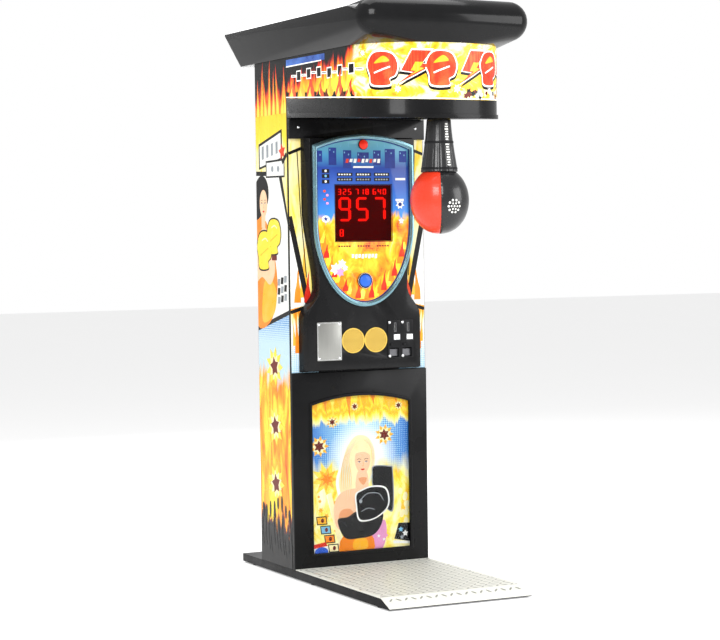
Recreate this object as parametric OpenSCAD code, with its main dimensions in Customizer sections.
// Boxing punch machine: a coin-operated strength tester with a swinging punch ball.
// The origin is the middle of the base on the floor. The player stands on the -Y side.

/* [Overall] */
// Height from the floor to the crest of the roof
total_h = 2230; // [2150:10:2700]
// Width of the base, the cabinet and the head
cab_w = 600; // [580:10:760]
// Length of the base, front to back
base_l = 1350; // [1200:10:1650]

/* [Base] */
// Height of the rubber pads under the base
pad_h = 5; // [3:1:12]
// Diameter of the rubber pads
pad_d = 50; // [30:2:70]
// Height of the folded steel base pan
pan_h = 32; // [24:1:50]
// Thickness of the pan's top sheet
pan_t = 3; // [2:0.5:5]
// Thickness of the ribs and the skirt
rib_t = 4; // [3:0.5:8]
// Number of pockets between ribs along the base
rib_rows = 7; // [7:1:10]
// Number of pockets between ribs across the base
rib_cols = 4; // [3:1:5]
// Length of the front ramp
ramp_l = 70; // [50:5:110]
// Height of the ramp's front edge above the pads
ramp_nose = 3; // [2:1:8]
// Thickness of the aluminium tread plate
tread_t = 3; // [2:0.5:5]
// Diameter of the heads of the tread screws
tread_screw_d = 12; // [8:1:14]
// Number of screws along each side of the tread plate
tread_screw_n = 5; // [3:1:9]

/* [Cabinet] */
// Place of the cabinet's front face behind the middle of the base
cab_front = 155; // [100:5:200]
// Depth of the cabinet
cab_d = 320; // [300:5:420]
// Thickness of the side, rear and top boards
board_t = 18; // [15:1:22]
// Thickness of the printed front board
front_t = 12; // [9:1:18]
// Height of the lower box above the base pan
box_h = 783; // [740:5:900]
// How far the lower front frame stands proud of the cabinet
frame_proud = 10; // [6:1:20]
// Width of the poster window
poster_w = 434; // [380:2:460]
// Height of the poster window at its corners
poster_h = 593; // [500:5:620]
// Rise of the arch over the poster window
poster_rise = 32; // [15:1:45]
// Height of the rail below the poster window
poster_sill = 59; // [40:1:90]
// Thickness of the clear poster cover
cover_t = 4; // [2:0.5:6]
// Thickness of the printed poster board
print_t = 2; // [1:0.5:4]

/* [Rear door] */
// Width of the rear service door
door_w = 400; // [300:10:440]
// Height of the rear service door
door_h = 1200; // [800:20:1300]
// Height of the bottom of the door above the base pan
door_sill = 263; // [200:5:300]
// Thickness of the door
door_t = 16; // [12:1:18]
// Diameter of the hinge knuckles
knuckle_d = 12; // [10:1:16]
// Diameter of the hinge pins
hinge_pin_d = 6; // [5:0.5:8]
// Height of one hinge knuckle
knuckle_h = 30; // [20:2:50]
// Diameter of the lock barrel
lock_d = 18; // [14:1:24]

/* [Fascia] */
// How far the moulded fascia stands proud of the cabinet
fascia_d = 55; // [45:1:80]
// Thickness of the moulding
mould_t = 4; // [3:0.5:6]
// Width of the fascia around the coin row, at the cabinet
fascia_low_w = 532; // [510:2:560]
// Width of the fascia at its waist
fascia_waist_w = 412; // [380:2:440]
// Width of the fascia around the score shield
fascia_top_w = 494; // [484:2:520]
// Height of the middle of the coin row above the lower box
coin_row = 125; // [115:1:140]
// Height of the coin row's plates
plate_h = 153; // [130:1:170]
// Width of the blank note plate
note_w = 108; // [90:1:115]
// Diameter of the speaker grilles
grille_d = 100; // [80:1:100]
// Width of one coin plate
coin_w = 57; // [52:1:57]
// Thickness of the plates on the fascia
plate_t = 3; // [2:0.5:5]
// Diameter of the coin return buttons
return_d = 11; // [8:0.5:14]
// Travel of the coin return buttons
return_travel = 5; // [3:0.5:7]

/* [Score shield] */
// Height of the shield's lowest point above the lower box
shield_sill = 260; // [230:5:290]
// Height of the shield
shield_h = 685; // [640:5:760]
// Width of the shield
shield_w = 446; // [400:2:460]
// Rise of the arched top of the shield
shield_rise = 43; // [30:1:60]
// Height of the rounded lower part of the shield
shield_bowl = 340; // [300:5:380]
// Width of the bright ring around the shield
ring_w = 17; // [12:1:24]
// Height of the ring above the fascia
ring_h = 19; // [12:1:25]
// Thickness of the printed shield panel
shield_t = 4; // [3:0.5:6]
// Width of the score window
window_w = 250; // [220:2:260]
// Height of the score window
window_h = 223; // [200:2:240]
// Height of the window's lower edge above the shield's lowest point
window_sill = 261; // [245:1:270]
// Height of the large score digits
digit_h = 98; // [80:1:105]
// Diameter of the start button
button_d = 50; // [40:1:60]
// Travel of the start button
button_travel = 4; // [2:0.5:6]
// Height of the start button above the shield's lowest point
button_rise = 103; // [80:1:110]
// Diameter of the red beacon
beacon_d = 42; // [36:1:50]

/* [Head] */
// Height of the roof cover
roof_h = 164; // [140:2:200]
// Height of the head at the cabinet, below the roof
head_h = 235; // [225:5:280]
// How much lower the head's underside is at the nose, in degrees
head_slope = 3; // [0:0.5:5]
// How far the head stands out in front of the cabinet
head_l = 785; // [765:5:840]
// Depth of the head's rounded front, from its straight sides to the nose
head_bow = 260; // [200:5:300]
// Height of the black band below the printed sign, at the cabinet
band_h = 77; // [60:1:90]
// Thickness of the printed sign
sign_t = 4; // [3:0.5:6]
// Width of the opening for the punch ball
well_w = 280; // [270:2:284]
// Length of the opening for the punch ball
well_l = 640; // [610:5:650]
// Gap between the two roof beams
beam_gap = 300; // [294:2:320]
// Width of the square beams
beam_w = 40; // [30:2:50]
// Height of the beams
beam_h = 50; // [40:2:60]
// Overhang of the roof's rim beyond each side of the cabinet
roof_over = 55; // [30:5:80]
// Thickness of the moulded roof
roof_t = 5; // [4:0.5:8]

/* [Arm and ball] */
// Distance of the arm's pivot behind the head's nose
pivot_back = 90; // [88:1:110]
// Distance of the pivot below the roof
pivot_drop = 151; // [145:1:160]
// Distance from the pivot to the middle of the ball
arm_r = 424; // [380:2:440]
// Diameter of the pivot shaft
shaft_d = 25; // [20:1:30]
// Diameter of the arm tube
tube_d = 42; // [36:1:48]
// Width of the ball
ball_w = 220; // [190:2:230]
// Height of the ball
ball_h = 252; // [220:2:270]
// Turn of the ball's seam about the arm
ball_turn = 25; // [0:5:45]
// Diameter of the sleeve where it enters the head
sleeve_top_d = 90; // [70:2:100]
// Diameter of the sleeve at the ball
sleeve_low_d = 138; // [110:2:146]
// Travel of the arm from hanging to raised
arm_swing = 88; // [80:1:88]
// Diameter of the encoder disc on the shaft
encoder_d = 68; // [60:2:70]

/* [Latch] */
// Distance of the catch pin from the pivot, along the arm
catch_r = 95; // [90:1:100]
// Distance of the catch pin from the middle of the arm
catch_off = 44; // [42:1:50]
// Diameter of the catch pin and the latch pin
catch_d = 8; // [6:0.5:10]
// Turn of the latch hook from open to shut
latch_swing = 25; // [20:1:30]

/* [Hidden] */
$fn = 64;
eps = 0.01;
// Clearance of a part that slides or drops into a cut-out
fit = 0.5;
// Radial clearance of a pin or shaft that turns or slides in its bore
run = 0.08;

pan_top = pad_h + pan_h;
box_top = pan_top + box_h;
cab_back = cab_front + cab_d;
side_front = cab_front + front_t;
half_w = cab_w / 2;
inner_half = half_w - board_t;

head_top = total_h - roof_h;
head_back_z = head_top - head_h;
nose_y = cab_front - head_l;
bow_y = nose_y + head_bow;

frame_y = cab_front - frame_proud;
face_y = cab_front - fascia_d;
face_back = face_y + mould_t;
coin_z = box_top + coin_row;
shield_z = box_top + shield_sill;
shield_mid_z = shield_z + shield_bowl;
shield_top_z = shield_z + shield_h;
neck_z = shield_top_z - 17;
neck_top = head_back_z - 3;
window_z = shield_z + window_sill;
button_z = shield_z + button_rise;
beacon_z = shield_top_z - ring_w - beacon_d / 2 - 2;

row_gap = 1;
coin_x2 = half_w - 83 - coin_w / 2;
coin_x1 = coin_x2 - coin_w - row_gap;
grille_x2 = coin_x1 - coin_w / 2 - 4 - grille_d / 2;
grille_x1 = grille_x2 - grille_d - row_gap;
note_x = grille_x1 - grille_d / 2 - row_gap - note_w / 2;

pivot_y = nose_y + pivot_back;
pivot_z = head_top - pivot_drop;
beam_in = beam_gap / 2;
beam_out = beam_in + beam_w;
beam_z = pivot_z - beam_h / 2;
well_y1 = nose_y + 30 + well_l;
latch_y = pivot_y + catch_r * sin(arm_swing) + catch_off * cos(arm_swing);
catch_z = pivot_z - catch_r * cos(arm_swing) + catch_off * sin(arm_swing);
bar_z = head_top - 26;
latch_z = bar_z - 25;
tail_l = 16;
ball_z = pivot_z - arm_r;

door_z = pan_top + door_sill;
hinge_x = -door_w / 2 - 2.5;
hinge_y = cab_back + knuckle_d / 2 + eps;
hinge_spots = [0.12, 0.5, 0.88];
lock_x = door_w / 2 - 30;
lock_z = door_z + door_h * 0.5;

// ---------- shared shapes ----------

// A 2D shape drawn as seen from the front, made t thick towards +Y from the plane y.
module slab(y, t) translate([0, y + t, 0]) rotate([90, 0, 0]) linear_extrude(t) children();

// A cylinder along Y from the plane y, with its axis at x and z.
module peg(x, y, z, d, t) translate([x, y, z]) rotate([-90, 0, 0]) cylinder(d = d, h = t);

// A cylinder along X, centred on x = 0.
module axle(y, z, d, l) translate([-l / 2, y, z]) rotate([0, 90, 0]) cylinder(d = d, h = l);

// A plate across the width, from a profile of [y, z] points.
module across(w, points) translate([-w / 2, 0, 0]) rotate([90, 0, 90]) linear_extrude(w) polygon(points);

module span(x0, x1, y0, y1, z0, z1) translate([x0, y0, z0]) cube([x1 - x0, y1 - y0, z1 - z0]);

// A square with round corners, centred on the origin.
module soft_rect(w, h, r) hull() for (x = [-1, 1], y = [-1, 1])
    translate([x * (w / 2 - r), y * (h / 2 - r)]) circle(r, $fn = 32);

// Radius of the circle through a chord's ends with the given rise.
function arch_r(w, rise) = (w * w / 4 + rise * rise) / (2 * rise);

// The arched window outline, grown by g on every side.
module arch_window(g) translate([0, pan_top + poster_sill]) intersection() {
    translate([-poster_w / 2 - g, -g]) square([poster_w + 2 * g, poster_h + poster_rise + 2 * g]);
    translate([0, poster_h + poster_rise - arch_r(poster_w, poster_rise)])
        circle(arch_r(poster_w, poster_rise) + g, $fn = 256);
}

// Half width of the fascia at height z, flowing from the coin row to the waist and the shield.
function ease(t) = t * t * (3 - 2 * t);
waist_z = shield_z + 70;
flow = [[box_top + 3, fascia_low_w], [coin_z + 95, fascia_low_w], [waist_z, fascia_waist_w],
    [shield_mid_z + 60, fascia_top_w], [neck_z + 8, fascia_top_w]];
function fascia_half(z, i = 0) = i >= len(flow) - 2 || z <= flow[i + 1][0]
    ? (flow[i][1] + (flow[i + 1][1] - flow[i][1])
        * ease((z - flow[i][0]) / (flow[i + 1][0] - flow[i][0]))) / 2
    : fascia_half(z, i + 1);
fascia_steps = 40;
fascia_mid = (flow[0][0] + flow[4][0]) / 2;

module fascia_outline(inset) {
    z0 = flow[0][0] + inset;
    z1 = flow[4][0] - inset;
    side = [for (i = [0 : fascia_steps]) let (z = z0 + (z1 - z0) * i / fascia_steps)
        [fascia_half(z) - inset, z - fascia_mid]];
    polygon(concat(side, [for (i = [fascia_steps : -1 : 0]) [-side[i][0], side[i][1]]]));
}

module fascia_body(inset, depth) translate([0, cab_front, fascia_mid]) rotate([90, 0, 0])
    linear_extrude(depth, scale = [0.94, 0.985], slices = 1) fascia_outline(inset);

// The shield outline, grown by g: an arched top, upright sides and a bowl-shaped foot.
module shield_outline(g) {
    w = shield_w / 2 + g;
    r = arch_r(shield_w, shield_rise);
    reach = asin(shield_w / 2 / r);
    bowl = [for (i = [0 : 32]) let (a = 180 + i * 180 / 32)
        [w * cos(a), shield_mid_z + (shield_bowl + g) * sin(a)]];
    crown = [for (i = [0 : 16]) let (a = 90 - reach + 2 * reach * i / 16)
        [cos(a) * w / sin(reach), shield_top_z - r + (r + g) * sin(a)]];
    polygon(concat(bowl, crown));
}

// Plan of the head: straight sides that round off into a bowed front, grown by g.
bow_power = 2.3;
module head_plan(g) {
    a = half_w + g;
    b = head_bow + g;
    bow = [for (i = [0 : 48]) let (t = i * 180 / 48)
        [sign(cos(t)) * a * pow(abs(cos(t)), 2 / bow_power), bow_y - b * pow(sin(t), 2 / bow_power)]];
    polygon(concat(bow, [[-a, side_front + g], [a, side_front + g]]));
}

// Height of the head's sloping underside at y, and of the seam between band and sign.
function under_z(y) = head_back_z + (y - side_front) * tan(head_slope);
function seam_z(y) = head_back_z + band_h + (y - side_front) * tan(head_slope) * 1.2;

// ---------- base ----------

module pad_spots() for (x = [-1, 1], y = [-1, 0, 1])
    translate([x * (half_w - 0.6 * pad_d), y * (base_l / 2 - ramp_l - 0.6 * pad_d), 0]) children();

module base_pan() color("#16171a") {
    pan_shell();
    pad_spots() translate([0, 0, pad_h]) cylinder(d = pad_d * 0.6, h = pan_h - pan_t + eps);
}
module pan_shell() difference() {
    across(cab_w, [[-base_l / 2, pad_h], [-base_l / 2, pad_h + ramp_nose],
        [-base_l / 2 + ramp_l, pan_top], [base_l / 2, pan_top], [base_l / 2, pad_h]]);
    pocket_l = (base_l - ramp_l - rib_t) / rib_rows;
    pocket_w = (cab_w - rib_t) / rib_cols;
    for (i = [0 : rib_rows - 1], j = [0 : rib_cols - 1])
        translate([-half_w + rib_t + j * pocket_w, -base_l / 2 + ramp_l + rib_t + i * pocket_l, pad_h - eps])
            cube([pocket_w - rib_t, pocket_l - rib_t, pan_h - pan_t + eps]);
}

module base_pads() color("#1c1c1c") pad_spots() cylinder(d = pad_d, h = pad_h);

tread_w = cab_w - 4;
tread_y1 = frame_y - fit;
tread_nose = tread_t * 0.8;
module tread_plate() color("#cfd2d4") difference() {
    across(tread_w, [[-base_l / 2, pad_h + ramp_nose], [-base_l / 2, pad_h + ramp_nose + tread_nose],
        [-base_l / 2 + ramp_l, pan_top + tread_t], [tread_y1, pan_top + tread_t], [tread_y1, pan_top],
        [-base_l / 2 + ramp_l, pan_top]]);
    tread_spots() translate([0, 0, pan_top + tread_t - 2]) cylinder(d = tread_screw_d, h = 3);
}

module tread_spots() for (x = [-1, 1], i = [0 : tread_screw_n - 1])
    translate([x * (tread_w / 2 - 14), -base_l / 2 + ramp_l + 20
        + i * (tread_y1 + base_l / 2 - ramp_l - 40) / (tread_screw_n - 1), 0]) children();

module tread_screws() color("#a9acae")
    tread_spots() translate([0, 0, pan_top + tread_t - 2]) cylinder(d = tread_screw_d - 0.2, h = 1.8);

// ---------- cabinet ----------

module side_panel(s) span(s > 0 ? inner_half : -half_w, s > 0 ? half_w : -inner_half,
    side_front, cab_back, pan_top, head_top);

module left_side_panel() color("#e0a32c") side_panel(-1);
module right_side_panel() color("#e0a32c") side_panel(1);

module top_panel() color("#2a2521")
    span(-inner_half, inner_half, side_front, cab_back, head_top - board_t, head_top);

inlet_x = inner_half - 100;
inlet_z = pan_top + 90;
module rear_panel() color("#141414") difference() {
    span(-inner_half, inner_half, cab_back - board_t, cab_back, pan_top, head_top - board_t);
    span(-door_w / 2 - fit, door_w / 2 + fit, cab_back - board_t - 1, cab_back + 1,
        door_z - fit, door_z + door_h + fit);
    for (i = [0 : 7]) span(-90, 90, cab_back - board_t - 1, cab_back + 1,
        door_z + door_h + 60 + i * 16, door_z + door_h + 66 + i * 16);
}

module front_panel() color("#e6b23a") difference() {
    span(-half_w, half_w, cab_front, side_front, box_top, neck_top);
    span(-window_w / 2 + 15, window_w / 2 - 40, cab_front - 1, side_front + 1, window_z + 10, window_z + 200);
    for (x = [coin_x1, coin_x2]) span(x - coin_w / 2 + 3, x + coin_w / 2 - 3, cab_front - 1,
        side_front + 1, coin_z - plate_h / 2 + 30, coin_z + plate_h / 2 - 4);
    for (x = [grille_x1, grille_x2]) peg(x, cab_front - 1, coin_z, grille_d - 20, front_t + 2);
    peg(0, cab_front - 1, button_z, button_d, front_t + 2);
}

module lower_front_frame() color("#0f0f10") difference() {
    union() {
        span(-half_w, half_w, frame_y, side_front, pan_top, box_top);
        slab(frame_y - bead_h, bead_h + eps) difference() {
            arch_window(bead_w);
            arch_window(0);
        }
    }
    slab(frame_y - bead_h - 1, side_front - frame_y + bead_h + 2) arch_window(0);
    slab(rebate_y, side_front - rebate_y + 1) arch_window(rebate_w);
}
bead_h = 5;
bead_w = 12;
rebate_y = frame_y + 8;
rebate_w = 10;

module poster_cover() color("#dfe8ee", 0.35) slab(rebate_y, cover_t) arch_window(rebate_w - fit);
module poster_print() color("#6fa8c8") slab(rebate_y + cover_t, print_t) arch_window(rebate_w - fit);

tube_len = 500;
holder = 24;
module lamp_tube() {
    rotate([0, 90, 0]) cylinder(d = 16, h = tube_len - 2 * holder, center = true);
    for (x = [-1, 1]) translate([x * (tube_len - holder) / 2, 0, 0]) cube(holder, center = true);
}
module lamp_tubes() color("#f2f4f0") {
    translate([0, side_front + holder / 2, pan_top + poster_sill + poster_h + 50]) lamp_tube();
    for (x = [-1, 1]) translate([x * (beam_out + holder / 2), nose_y + 205 + tube_len / 2, pivot_z])
        rotate([0, 0, 90]) lamp_tube();
}

// ---------- fascia ----------

module fascia() color("#101112") difference() {
    union() {
        fascia_body(0, fascia_d);
        span(-half_w, half_w, cab_front - 15, cab_front, neck_z, neck_top);
    }
    difference() {
        translate([0, eps, 0]) fascia_body(mould_t, fascia_d);
        span(-half_w, half_w, face_y - 1, face_back, 0, total_h);
    }
    slab(face_y - 1, mould_t + 2) window_rect(window_trim + fit);
    for (x = [coin_x1, coin_x2]) slab(face_y - 1, mould_t + 2)
        translate([x, coin_z]) square([coin_w - 8, plate_h - 4], center = true);
    for (x = [grille_x1, grille_x2]) peg(x, face_y - 1, coin_z, grille_d - 14, mould_t + 2);
    peg(0, face_y - 1, button_z, barrel_d + 2 * fit, mould_t + 2);
    peg(0, face_y - 1, beacon_z, 20, mould_t + 2);
}
window_trim = 10;
barrel_d = button_d + 6;

module window_rect(g) translate([-window_w / 2 - g, window_z - g]) square([window_w + 2 * g, window_h + 2 * g]);

module shield_ring() color("#9fb4bd") {
    slab(face_y - ring_h * 0.6, ring_h * 0.6) difference() {
        shield_outline(0);
        shield_outline(-ring_w);
    }
    slab(face_y - ring_h, ring_h * 0.4) difference() {
        shield_outline(-4);
        shield_outline(-ring_w + 4);
    }
}

module shield_panel() color("#2f6fc0") difference() {
    slab(face_y - shield_t, shield_t) shield_outline(-ring_w - fit);
    slab(face_y - shield_t - 1, shield_t + 2) window_rect(0);
    peg(0, face_y - shield_t - 1, button_z, barrel_d + 2 * fit, shield_t + 2);
    peg(0, face_y - shield_t - 1, beacon_z, 20, shield_t + 2);
}

module display_window() color("#3a0c0a", 0.6) slab(face_y, mould_t) window_rect(window_trim);

board_y = face_back + 8;
module display_board() color("#14331f") {
    slab(board_y, 2) window_rect(window_trim + 12);
    for (x = [-1, 1], z = [0, 1])
        peg(x * (window_w / 2 + window_trim + 6), face_back, window_z - 16 + z * (window_h + 32), 9,
            board_y - face_back);
}

// One seven-segment numeral of height h: bits a to g are the top, right, left and middle bars.
SEGMENTS = [[1,1,1,1,1,1,0],[0,1,1,0,0,0,0],[1,1,0,1,1,0,1],[1,1,1,1,0,0,1],[0,1,1,0,0,1,1],
    [1,0,1,1,0,1,1],[1,0,1,1,1,1,1],[1,1,1,0,0,0,0],[1,1,1,1,1,1,1],[1,1,1,1,0,1,1]];
module segment(l, t) polygon([[-l / 2, 0], [-l / 2 + t / 2, t / 2], [l / 2 - t / 2, t / 2], [l / 2, 0],
    [l / 2 - t / 2, -t / 2], [-l / 2 + t / 2, -t / 2]]);
module digit(n, h) {
    w = h * 0.5;
    t = h * 0.11;
    gap = h * 0.02;
    bars = [[0, h / 2, 0], [w / 2, h / 4, 90], [w / 2, -h / 4, 90], [0, -h / 2, 0], [-w / 2, -h / 4, 90],
        [-w / 2, h / 4, 90], [0, 0, 0]];
    for (i = [0 : 6]) if (SEGMENTS[n][i] == 1)
        translate([bars[i][0], bars[i][1]]) rotate(bars[i][2])
            segment((bars[i][2] == 0 ? w : h / 2) - 2 * gap, t);
}
small_h = digit_h * 0.27;
module display_digits() color("#ff5a4a") slab(board_y - 6, 6) {
    for (i = [0 : 2]) translate([(i - 1) * window_w * 0.31, window_z + window_h * 0.57])
        digit([9, 5, 7][i], digit_h * 0.88);
    for (g = [0 : 2], i = [0 : 2])
        translate([(g - 1) * window_w * 0.31 + (i - 1) * small_h * 0.85, window_z + window_h - small_h])
            digit([[3, 2, 5], [7, 1, 8], [6, 4, 0]][g][i], small_h * 0.8);
    translate([-window_w * 0.37, window_z + window_h * 0.15]) digit(8, small_h);
}

module beacon_base() color("#202020") {
    peg(0, face_y - shield_t - 5, beacon_z, beacon_d, 5);
    peg(0, face_y - shield_t - eps, beacon_z, 19, shield_t + mould_t + 20);
}
module beacon_lens() color("#d8241c") translate([0, face_y - shield_t - 5, beacon_z]) rotate([90, 0, 0])
    rotate_extrude() difference() {
        intersection() {
            circle(d = beacon_d - 6);
            square(beacon_d);
        }
        square([beacon_d / 2 - 6, 4]);
    }

cap_y = face_y - shield_t - 12;
barrel_back = face_y + 14;
module button_bezel() color("#20242c") difference() {
    union() {
        peg(0, face_y - shield_t - 7, button_z, button_d + 14, 7);
        peg(0, face_y - shield_t - 1, button_z, barrel_d, barrel_back - face_y + shield_t + 1);
    }
    peg(0, face_y - shield_t - 8, button_z, button_d + 2 * run, barrel_back - face_y + shield_t + 9);
}
stem_end = barrel_back + 6;
module start_button() color("#1f46b8") {
    translate([0, cap_y, button_z]) rotate([-90, 0, 0]) rotate_extrude() union() {
        translate([0, 0]) square([button_d / 2, barrel_back - cap_y - 8]);
        intersection() {
            translate([0, button_d * 0.9]) circle(button_d, $fn = 96);
            translate([0, -button_d * 0.1]) square([button_d / 2, button_d * 0.1 + eps]);
        }
    }
    peg(0, barrel_back - 8 - eps, button_z, 12, stem_end - barrel_back + 8);
}
switch_y = stem_end + button_travel + 1;
module button_switch() color("#d9d9d4") {
    difference() {
        peg(0, barrel_back, button_z, barrel_d, switch_y - barrel_back + eps);
        peg(0, barrel_back - 1, button_z, button_d - 10, switch_y - barrel_back + 1);
    }
    span(-15, 15, switch_y, switch_y + 24, button_z - 12, button_z + 12);
    peg(0, switch_y, button_z, barrel_d, 3);
}

module note_plate() color("#b9bbb8")
    slab(face_y - plate_t, plate_t) translate([note_x, coin_z]) soft_rect(note_w, plate_h, 3);

module screw_head(x, y, z) translate([x, y, z]) rotate([90, 0, 0]) rotate_extrude() intersection() {
    translate([0, -5]) circle(8);
    square([8, 4]);
}
module fascia_screws() color("#8d8f90") {
    for (x = [-1, 1], z = [-1, 1])
        screw_head(note_x + x * (note_w / 2 - 9), face_y - plate_t, coin_z + z * (plate_h / 2 - 9));
    for (c = [coin_x1, coin_x2], z = [-1, 1])
        screw_head(c - coin_w / 2 + 9, face_y - plate_t, coin_z + z * (plate_h / 2 - 9));
    for (x = [-1, 1]) screw_head(x * (half_w - 40), cab_front - 15, neck_top - 34);
}

module speaker_grilles() color("#e8c84e") for (x = [grille_x1, grille_x2]) peg(x, face_y - 4, coin_z, grille_d, 4);

module speaker_drivers() color("#26282b") for (x = [grille_x1, grille_x2])
    translate([x, face_back, coin_z]) rotate([-90, 0, 0]) rotate_extrude() polygon([[0, 14],
        [grille_d * 0.15, 12], [grille_d * 0.42, 2], [grille_d * 0.42, 0], [grille_d * 0.48, 0], [grille_d * 0.48, 4],
        [grille_d * 0.3, 24], [grille_d * 0.3, 44], [0, 44]]);

// A coin plate with its slot, return cup, price window hole and return button hole.
cup_w = coin_w - 15;
cup_h = 36;
cup_d = 30;
flap_w = cup_w - 2;
flap_pin_z = coin_z - plate_h / 2 + 4 + cup_h - 5;
flap_pin_y = face_y + 8;
flap_pin_d = 3;
cup_z0 = coin_z - plate_h / 2 + 5;
price_z = coin_z + 8;
return_z = coin_z - 22;
module coin_plate(x) color("#17181a") difference() {
    union() {
        slab(face_y - plate_t, plate_t) translate([x, coin_z]) soft_rect(coin_w, plate_h, 3);
        span(x - cup_w / 2 - 2, x + cup_w / 2 + 2, face_y - eps, face_y + cup_d + 2, cup_z0 - 2, cup_z0 + cup_h + 2);
        peg(x - 14, face_y - eps, return_z, return_d + 5, 10);
    }
    span(x - cup_w / 2, x + cup_w / 2, face_y - plate_t - 1, face_y + cup_d, cup_z0, cup_z0 + cup_h);
    span(x + 2, x + 6, face_y - plate_t - 1, face_y + 1, coin_z + 32, coin_z + 64);
    span(x - 1, x + coin_w / 2 - 2, face_y - plate_t - 1, face_y + 1, price_z - 10, price_z + 10);
    peg(x - 14, face_y - plate_t - 1, return_z, return_d + 2 * run, 20);
    translate([x, 0, 0]) axle(flap_pin_y, flap_pin_z, flap_pin_d + 2 * run, cup_w + 10);
}
module left_coin_plate() coin_plate(coin_x1);
module right_coin_plate() coin_plate(coin_x2);

module price_windows() color("#f4f6f4") for (x = [coin_x1, coin_x2])
    span(x - 0.8, x + coin_w / 2 - 2.2, face_y - plate_t + 1, face_y, price_z - 9.8, price_z + 9.8);

module return_button(x) color("#2c2e33") {
    peg(x - 14, face_y - plate_t - return_travel - 1, return_z, return_d, plate_t + return_travel + 11);
}
module left_return_button() return_button(coin_x1);
module right_return_button() return_button(coin_x2);

module return_flap(x) color("#3a3c40") translate([x, 0, 0]) {
    axle(flap_pin_y, flap_pin_z, flap_pin_d, cup_w + 3);
    span(-flap_w / 2, flap_w / 2, flap_pin_y - 1, flap_pin_y + 1, cup_z0 + 3, flap_pin_z);
}
module left_return_flap() return_flap(coin_x1);
module right_return_flap() return_flap(coin_x2);

mech_y1 = side_front + 60;
mech_z0 = return_z - 11;
module coin_mechs() color("#4a4d52") for (x = [coin_x1, coin_x2]) {
    span(x - 22, x + 22, face_y + 3, mech_y1, price_z + 11, coin_z + plate_h / 2 - 6);
    span(x - 22, x + 22, face_y + 22, mech_y1, mech_z0, price_z + 11);
}

chute_z0 = pan_top + 240;
chute_y0 = side_front + holder + 4;
module coin_chute() color("#9a9c9e") difference() {
    span(coin_x1 - 30, coin_x2 + 30, chute_y0, mech_y1, chute_z0, mech_z0);
    span(coin_x1 - 28, coin_x2 + 28, chute_y0 + 2, mech_y1 - 2, chute_z0 - 1, mech_z0 + 1);
}

module cash_box() color("#6d7074") difference() {
    span(coin_x1 - 50, coin_x2 + 50, side_front + 1, side_front + 191, pan_top, chute_z0 - 6);
    span(coin_x1 - 48, coin_x2 + 48, side_front + 3, side_front + 189, pan_top + 2, chute_z0 - 5);
}

// ---------- head ----------

module head_frame() color("#3b3e42") {
    for (s = [-1, 1]) {
        span(s * (beam_in + beam_w / 2) - beam_w / 2, s * (beam_in + beam_w / 2) + beam_w / 2,
            nose_y + 55, cab_back - board_t, beam_z, beam_z + beam_h);
        span(s * (beam_in + beam_w / 2) - beam_w / 2, s * (beam_in + beam_w / 2) + beam_w / 2,
            latch_y - 20, latch_y + 20, beam_z + beam_h, head_top - 4);
        span(s * (beam_in + beam_w / 2) - beam_w / 2, s * (beam_in + beam_w / 2) + beam_w / 2,
            cab_back - 80, cab_back - 40, beam_z + beam_h - eps, head_top - board_t);
    }
    span(-beam_in - 1, beam_in + 1, latch_y - 20, latch_y + 20, bar_z, head_top - 4);
    span(-beam_in - eps, beam_in + eps, cross_y0, cross_y1, beam_z - 30, beam_z + beam_h);
    span(-beam_in - eps, beam_in + eps, cab_back - board_t - beam_w, cab_back - board_t, beam_z, beam_z + beam_h);
}
cross_y0 = nose_y + 36;
cross_y1 = cross_y0 + 17;

tray_t = 5;
lip_h = 16;
module head_tray() color("#0d0e0f") difference() {
    union() {
        intersection() {
            linear_extrude(total_h) head_plan(0);
            across(cab_w + 40, [[side_front, under_z(side_front)], [nose_y - 20, under_z(nose_y - 20)],
                [nose_y - 20, seam_z(nose_y - 20)], [side_front, seam_z(side_front)]]);
        }
        intersection() {
            linear_extrude(total_h) head_plan(5);
            across(cab_w + 40, [[cab_front - 16, under_z(cab_front - 16)], [nose_y - 20, under_z(nose_y - 20)],
                [nose_y - 20, under_z(nose_y - 20) + lip_h], [cab_front - 16, under_z(cab_front - 16) + lip_h]]);
        }
    }
    intersection() {
        linear_extrude(total_h) difference() {
            head_plan(-tray_t);
        }
        across(cab_w + 40, [[side_front + 1, under_z(side_front + 1) + tray_t],
            [nose_y - 20, under_z(nose_y - 20) + tray_t], [nose_y - 20, head_top], [side_front + 1, head_top]]);
    }
    span(-well_w / 2, well_w / 2, nose_y + 30, well_y1, head_back_z - 100, head_top);
    span(-inner_half, inner_half, side_front - tray_t - 1, side_front + 1, head_back_z - 1, head_top);
}

module marquee_sign() color("#f0b030") difference() {
    intersection() {
        linear_extrude(total_h) difference() {
            head_plan(0);
            head_plan(-sign_t);
            translate([-inner_half, side_front - tray_t - 5]) square([2 * inner_half, 50]);
        }
        across(cab_w + 40, [[side_front, seam_z(side_front)], [nose_y - 20, seam_z(nose_y - 20)],
            [nose_y - 20, head_top], [side_front, head_top]]);
    }
}

well_out = beam_in - 15;
well_y0 = pivot_y + arm_r * 0.33;
well_top = head_top - 21;
module ball_well() color("#1b1b1d") {
    difference() {
        span(-well_out, well_out, well_y0, well_y1, beam_z - 35, well_top);
        span(-well_out + 4, well_out - 4, well_y0 - 1, well_y1 - 4, beam_z - 36, well_top - 4);
    }
    for (s = [-1, 1]) translate([s < 0 ? -beam_out + 4 : well_out - eps, well_y0, beam_z + beam_h])
        cube([beam_out - well_out - 4 + eps, well_y1 - well_y0, 3]);
}

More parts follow.
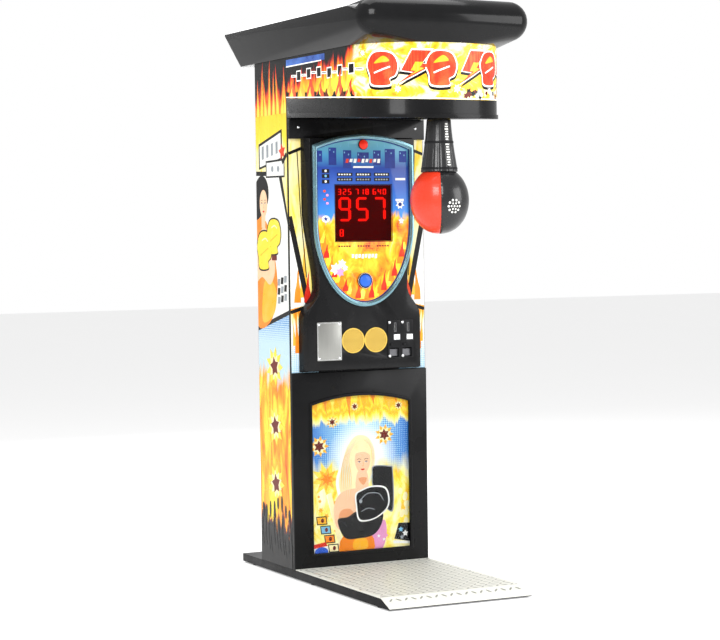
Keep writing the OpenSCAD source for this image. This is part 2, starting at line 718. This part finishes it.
// The ball's raised crown decides how thick the foam stop under the well's top is.
raised_y = pivot_y + arm_r * sin(arm_swing);
raised_top = pivot_z - arm_r * cos(arm_swing) + ball_w / 2;
module rubber_buffers() color("#2b2b2b") {
    span(-70, 70, raised_y - 70, raised_y + 60, raised_top + 2, well_top - 4);
    span(-20, 20, cross_y1, pivot_y - tube_d / 2 - 0.5, beam_z - 28, beam_z - 4);
}

module roof_slab(x, y0, y1, z, h, r) translate([0, (y0 + y1) / 2, z]) linear_extrude(h)
    soft_rect(2 * x, y1 - y0, r);

// The roof as one convex form: a low rim round the head, a flared brim and a rolled front.
roof_nose_r = (roof_h - 16) / 2;
roof_bow = 30;
module roof_form(g) hull() {
    translate([0, 0, head_top]) linear_extrude(2) head_plan(6 + g);
    roof_slab(half_w + 6 + g, side_front, base_l / 2 - 45 + g, head_top, 2, 30);
    roof_slab(half_w + roof_over + g, -base_l / 2 + 150, base_l / 2 + g, total_h - 36 - (g < 0 ? -g : 0), 6, 24);
    roof_slab(half_w + roof_over - 70 + g, -base_l / 2 + 150, base_l / 2 - 80, total_h - 14 + g, 4, 24);
    for (x = [-1, 0, 1]) translate([x * (half_w + roof_over - roof_nose_r), -base_l / 2 + roof_nose_r
        + (x == 0 ? 0 : roof_bow), total_h - roof_nose_r]) sphere(roof_nose_r + g, $fn = 32);
}
module roof_cover() color("#0c0c0d") difference() {
    roof_form(0);
    difference() {
        translate([0, 0, -eps]) roof_form(-roof_t);
        linear_extrude(head_top + roof_t) square(4000, center = true);
    }
    span(-inner_half + 20, inner_half - 20, nose_y + 160, cab_back - 60, head_top - 1, head_top + roof_t + 1);
}

// ---------- arm, latch and sensor ----------

module shaft_bearings() color("#8c9094") for (s = [-1, 1]) translate([s * (beam_in - 9), pivot_y, pivot_z])
    rotate([0, 90, 0]) difference() {
        union() {
            cylinder(d = shaft_d + 34, h = 18, center = true);
            translate([0, 0, s * 6]) cube([beam_h - 2, beam_h - 2, 6], center = true);
        }
        cylinder(d = shaft_d + 2 * run, h = 30, center = true);
    }

module pivot_shaft() color("#c3c7ca") axle(pivot_y, pivot_z, shaft_d, beam_gap - 2);

hub_w = 90;
hub_d = shaft_d + 30;
module arm_tube() color("#2d2f33") difference() {
    union() {
        axle(pivot_y, pivot_z, hub_d, hub_w);
        translate([0, pivot_y, ball_z + 50]) cylinder(d = tube_d, h = arm_r - 50);
        for (x = [-10, 10]) span(x - 2, x + 2, pivot_y, pivot_y + catch_off + catch_d, pivot_z - catch_r - 12,
            pivot_z - catch_r + 12);
        axle(pivot_y + catch_off, pivot_z - catch_r, catch_d, 24);
    }
    axle(pivot_y, pivot_z, shaft_d + 2 * run, hub_w + 2);
}

// Half outline of the ball about the arm, from foot to crown, grown by g.
module ball_half(g) {
    a = ball_w / 2 + g;
    b = ball_h / 2 + g;
    polygon(concat([[0, -b]], [for (i = [1 : 23]) let (t = -90 + i * 180 / 24)
        [a * pow(cos(t), 0.94), b * sin(t)]], [[0, b]]));
}

sleeve_z0 = ball_z + ball_h / 2 - 26;
sleeve_z1 = pivot_z - catch_r - 26;
module arm_sleeve() color("#141516") difference() {
    translate([0, pivot_y, 0]) rotate_extrude() polygon([[tube_d / 2 + run, sleeve_z0 + 2],
        [sleeve_low_d / 2 - 3, sleeve_z0], [sleeve_low_d / 2, sleeve_z0 + 6],
        [sleeve_top_d / 2 + 8, sleeve_z1 - 90], [sleeve_top_d / 2, sleeve_z1 - 6],
        [sleeve_top_d / 2 - 6, sleeve_z1], [tube_d / 2 + run, sleeve_z1]]);
    translate([0, pivot_y, ball_z]) rotate_extrude() ball_half(0.4);
}

module ball_side(s) translate([0, pivot_y, ball_z]) rotate([0, 0, -ball_turn]) difference() {
    rotate_extrude() ball_half(0);
    translate([s > 0 ? -500 : 0, -250, -250]) cube([500, 500, 500]);
    translate([0, 0, 50 - 2]) cylinder(d = tube_d + 2 * run, h = ball_h);
}
module ball_red_half() color("#e8301c") ball_side(-1);
module ball_black_half() color("#141414") ball_side(1);

encoder_x = 96;
module encoder_disc() color("#a9aeb2") translate([encoder_x, 0, 0]) difference() {
    axle(pivot_y, pivot_z, encoder_d, 2);
    axle(pivot_y, pivot_z, shaft_d + 2 * run, 4);
}

sensor_y = pivot_y + encoder_d / 2 + 12;
module speed_sensor() color("#1f2937") difference() {
    union() {
        span(encoder_x - 9, encoder_x + 9, sensor_y - 20, sensor_y, pivot_z - 10, pivot_z + 10);
        span(encoder_x, beam_in, sensor_y - 13, sensor_y, pivot_z - 10, pivot_z + 10);
    }
    span(encoder_x - 3, encoder_x + 3, pivot_y, pivot_y + encoder_d / 2 + 3, pivot_z - 20, pivot_z + 20);
}

module latch_bracket() color("#6b6f73") {
    for (x = [-10.5, 10.5]) span(x - 1.5, x + 1.5, latch_y - 18, latch_y + 18, latch_z - 10, bar_z);
    axle(latch_y, latch_z, catch_d, 24);
}

hook_drop = latch_z - catch_z + catch_d / 2 + 2;
module latch_hook() color("#b0862c") translate([0, latch_y, latch_z]) rotate([-latch_swing, 0, 0])
    difference() {
        union() {
            axle(0, 0, 2.6 * catch_d, 8);
            span(-4, 4, -catch_d - 12, -catch_d - 3, -hook_drop - 8, -2);
            span(-4, 4, -catch_d - 12, 0, -10, -2);
            span(-4, 4, -catch_d - 12, catch_d - 1, -hook_drop - 8, -hook_drop);
            span(-4, 4, -4, 4, 0, tail_l + 3);
        }
        axle(0, 0, catch_d + 2 * run, 12);
    }

rod_z = latch_z + tail_l * cos(latch_swing);
rod_tip = latch_y + tail_l * sin(latch_swing) - 7.2;
coil_y1 = latch_y - 30;
module solenoid() color("#7c5a2a") difference() {
    union() {
        span(-16, 16, coil_y1 - 48, coil_y1, rod_z - 16, rod_z + 16);
        span(-16, 16, coil_y1 - eps, latch_y - 20, bar_z + 1, rod_z + 16);
    }
    peg(0, coil_y1 - 50, rod_z, catch_d + 2 * run, 60);
}
module plunger() color("#d0d3d6") {
    peg(0, coil_y1 - 60, rod_z, catch_d, rod_tip - coil_y1 + 60);
}

// ---------- rear door and electrics ----------

module hinge_leaf(z, s) span(s < 0 ? hinge_x - 24 : hinge_x, s < 0 ? hinge_x : hinge_x + 24,
    cab_back + eps, cab_back + 2, z, z + knuckle_h - 0.4);

module rear_door() color("#161616") difference() {
    union() {
        span(-door_w / 2, door_w / 2, cab_back - door_t, cab_back + 0.02, door_z, door_z + door_h);
        for (f = hinge_spots) {
            translate([hinge_x, hinge_y, door_z + door_h * f + 0.4]) cylinder(d = knuckle_d, h = knuckle_h - 0.4);
            translate([0, 0, 0.4]) hinge_leaf(door_z + door_h * f, 1);
        }
    }
    for (f = hinge_spots) translate([hinge_x, hinge_y, door_z + door_h * f - 1])
        cylinder(d = hinge_pin_d + 2 * run, h = knuckle_h + 2);
    peg(lock_x, cab_back - door_t - 1, lock_z, lock_d + 2 * run, door_t + 2);
}

module door_hinges() color("#8f9396") for (f = hinge_spots) {
    translate([hinge_x, hinge_y, door_z + door_h * f - knuckle_h]) cylinder(d = knuckle_d, h = knuckle_h);
    translate([hinge_x, hinge_y, door_z + door_h * f - eps]) cylinder(d = hinge_pin_d, h = knuckle_h + 2);
    hinge_leaf(door_z + door_h * f - knuckle_h, -1);
}

module rear_lock() color("#c4c7c9") difference() {
    union() {
        peg(lock_x, cab_back + 0.3, lock_z, lock_d + 8, 3);
        peg(lock_x, cab_back - board_t - 6, lock_z, lock_d, board_t + 6.4);
        span(lock_x - 6, lock_x + 6, cab_back - board_t - 8, cab_back - board_t - 5.9, lock_z - 8, lock_z + 46);
    }
    span(lock_x - 1, lock_x + 1, cab_back + 1, cab_back + 9, lock_z - 4, lock_z + 4);
}

module electrics() color("#a7abae") {
    span(inner_half - 52, inner_half, cab_back - board_t - 130, cab_back - board_t - 20, pan_top + 700, pan_top + 900);
    translate([-inner_half, side_front + 60, pan_top + 1000]) cube([14, 160, 220]);
    span(inlet_x - 24, inlet_x + 24, cab_back, cab_back + 4, inlet_z - 14, inlet_z + 14);
}

base_pan();
base_pads();
tread_plate();
tread_screws();
left_side_panel();
right_side_panel();
rear_panel();
top_panel();
front_panel();
lower_front_frame();
poster_print();
poster_cover();
lamp_tubes();
fascia();
shield_ring();
shield_panel();
display_window();
display_board();
display_digits();
beacon_base();
beacon_lens();
button_bezel();
start_button();
button_switch();
note_plate();
fascia_screws();
speaker_grilles();
speaker_drivers();
left_coin_plate();
right_coin_plate();
price_windows();
left_return_button();
right_return_button();
left_return_flap();
right_return_flap();
coin_mechs();
coin_chute();
cash_box();
head_frame();
head_tray();
marquee_sign();
ball_well();
rubber_buffers();
roof_cover();
shaft_bearings();
pivot_shaft();
arm_tube();
arm_sleeve();
ball_red_half();
ball_black_half();
encoder_disc();
speed_sensor();
latch_bracket();
latch_hook();
solenoid();
plunger();
rear_door();
door_hinges();
rear_lock();
electrics();
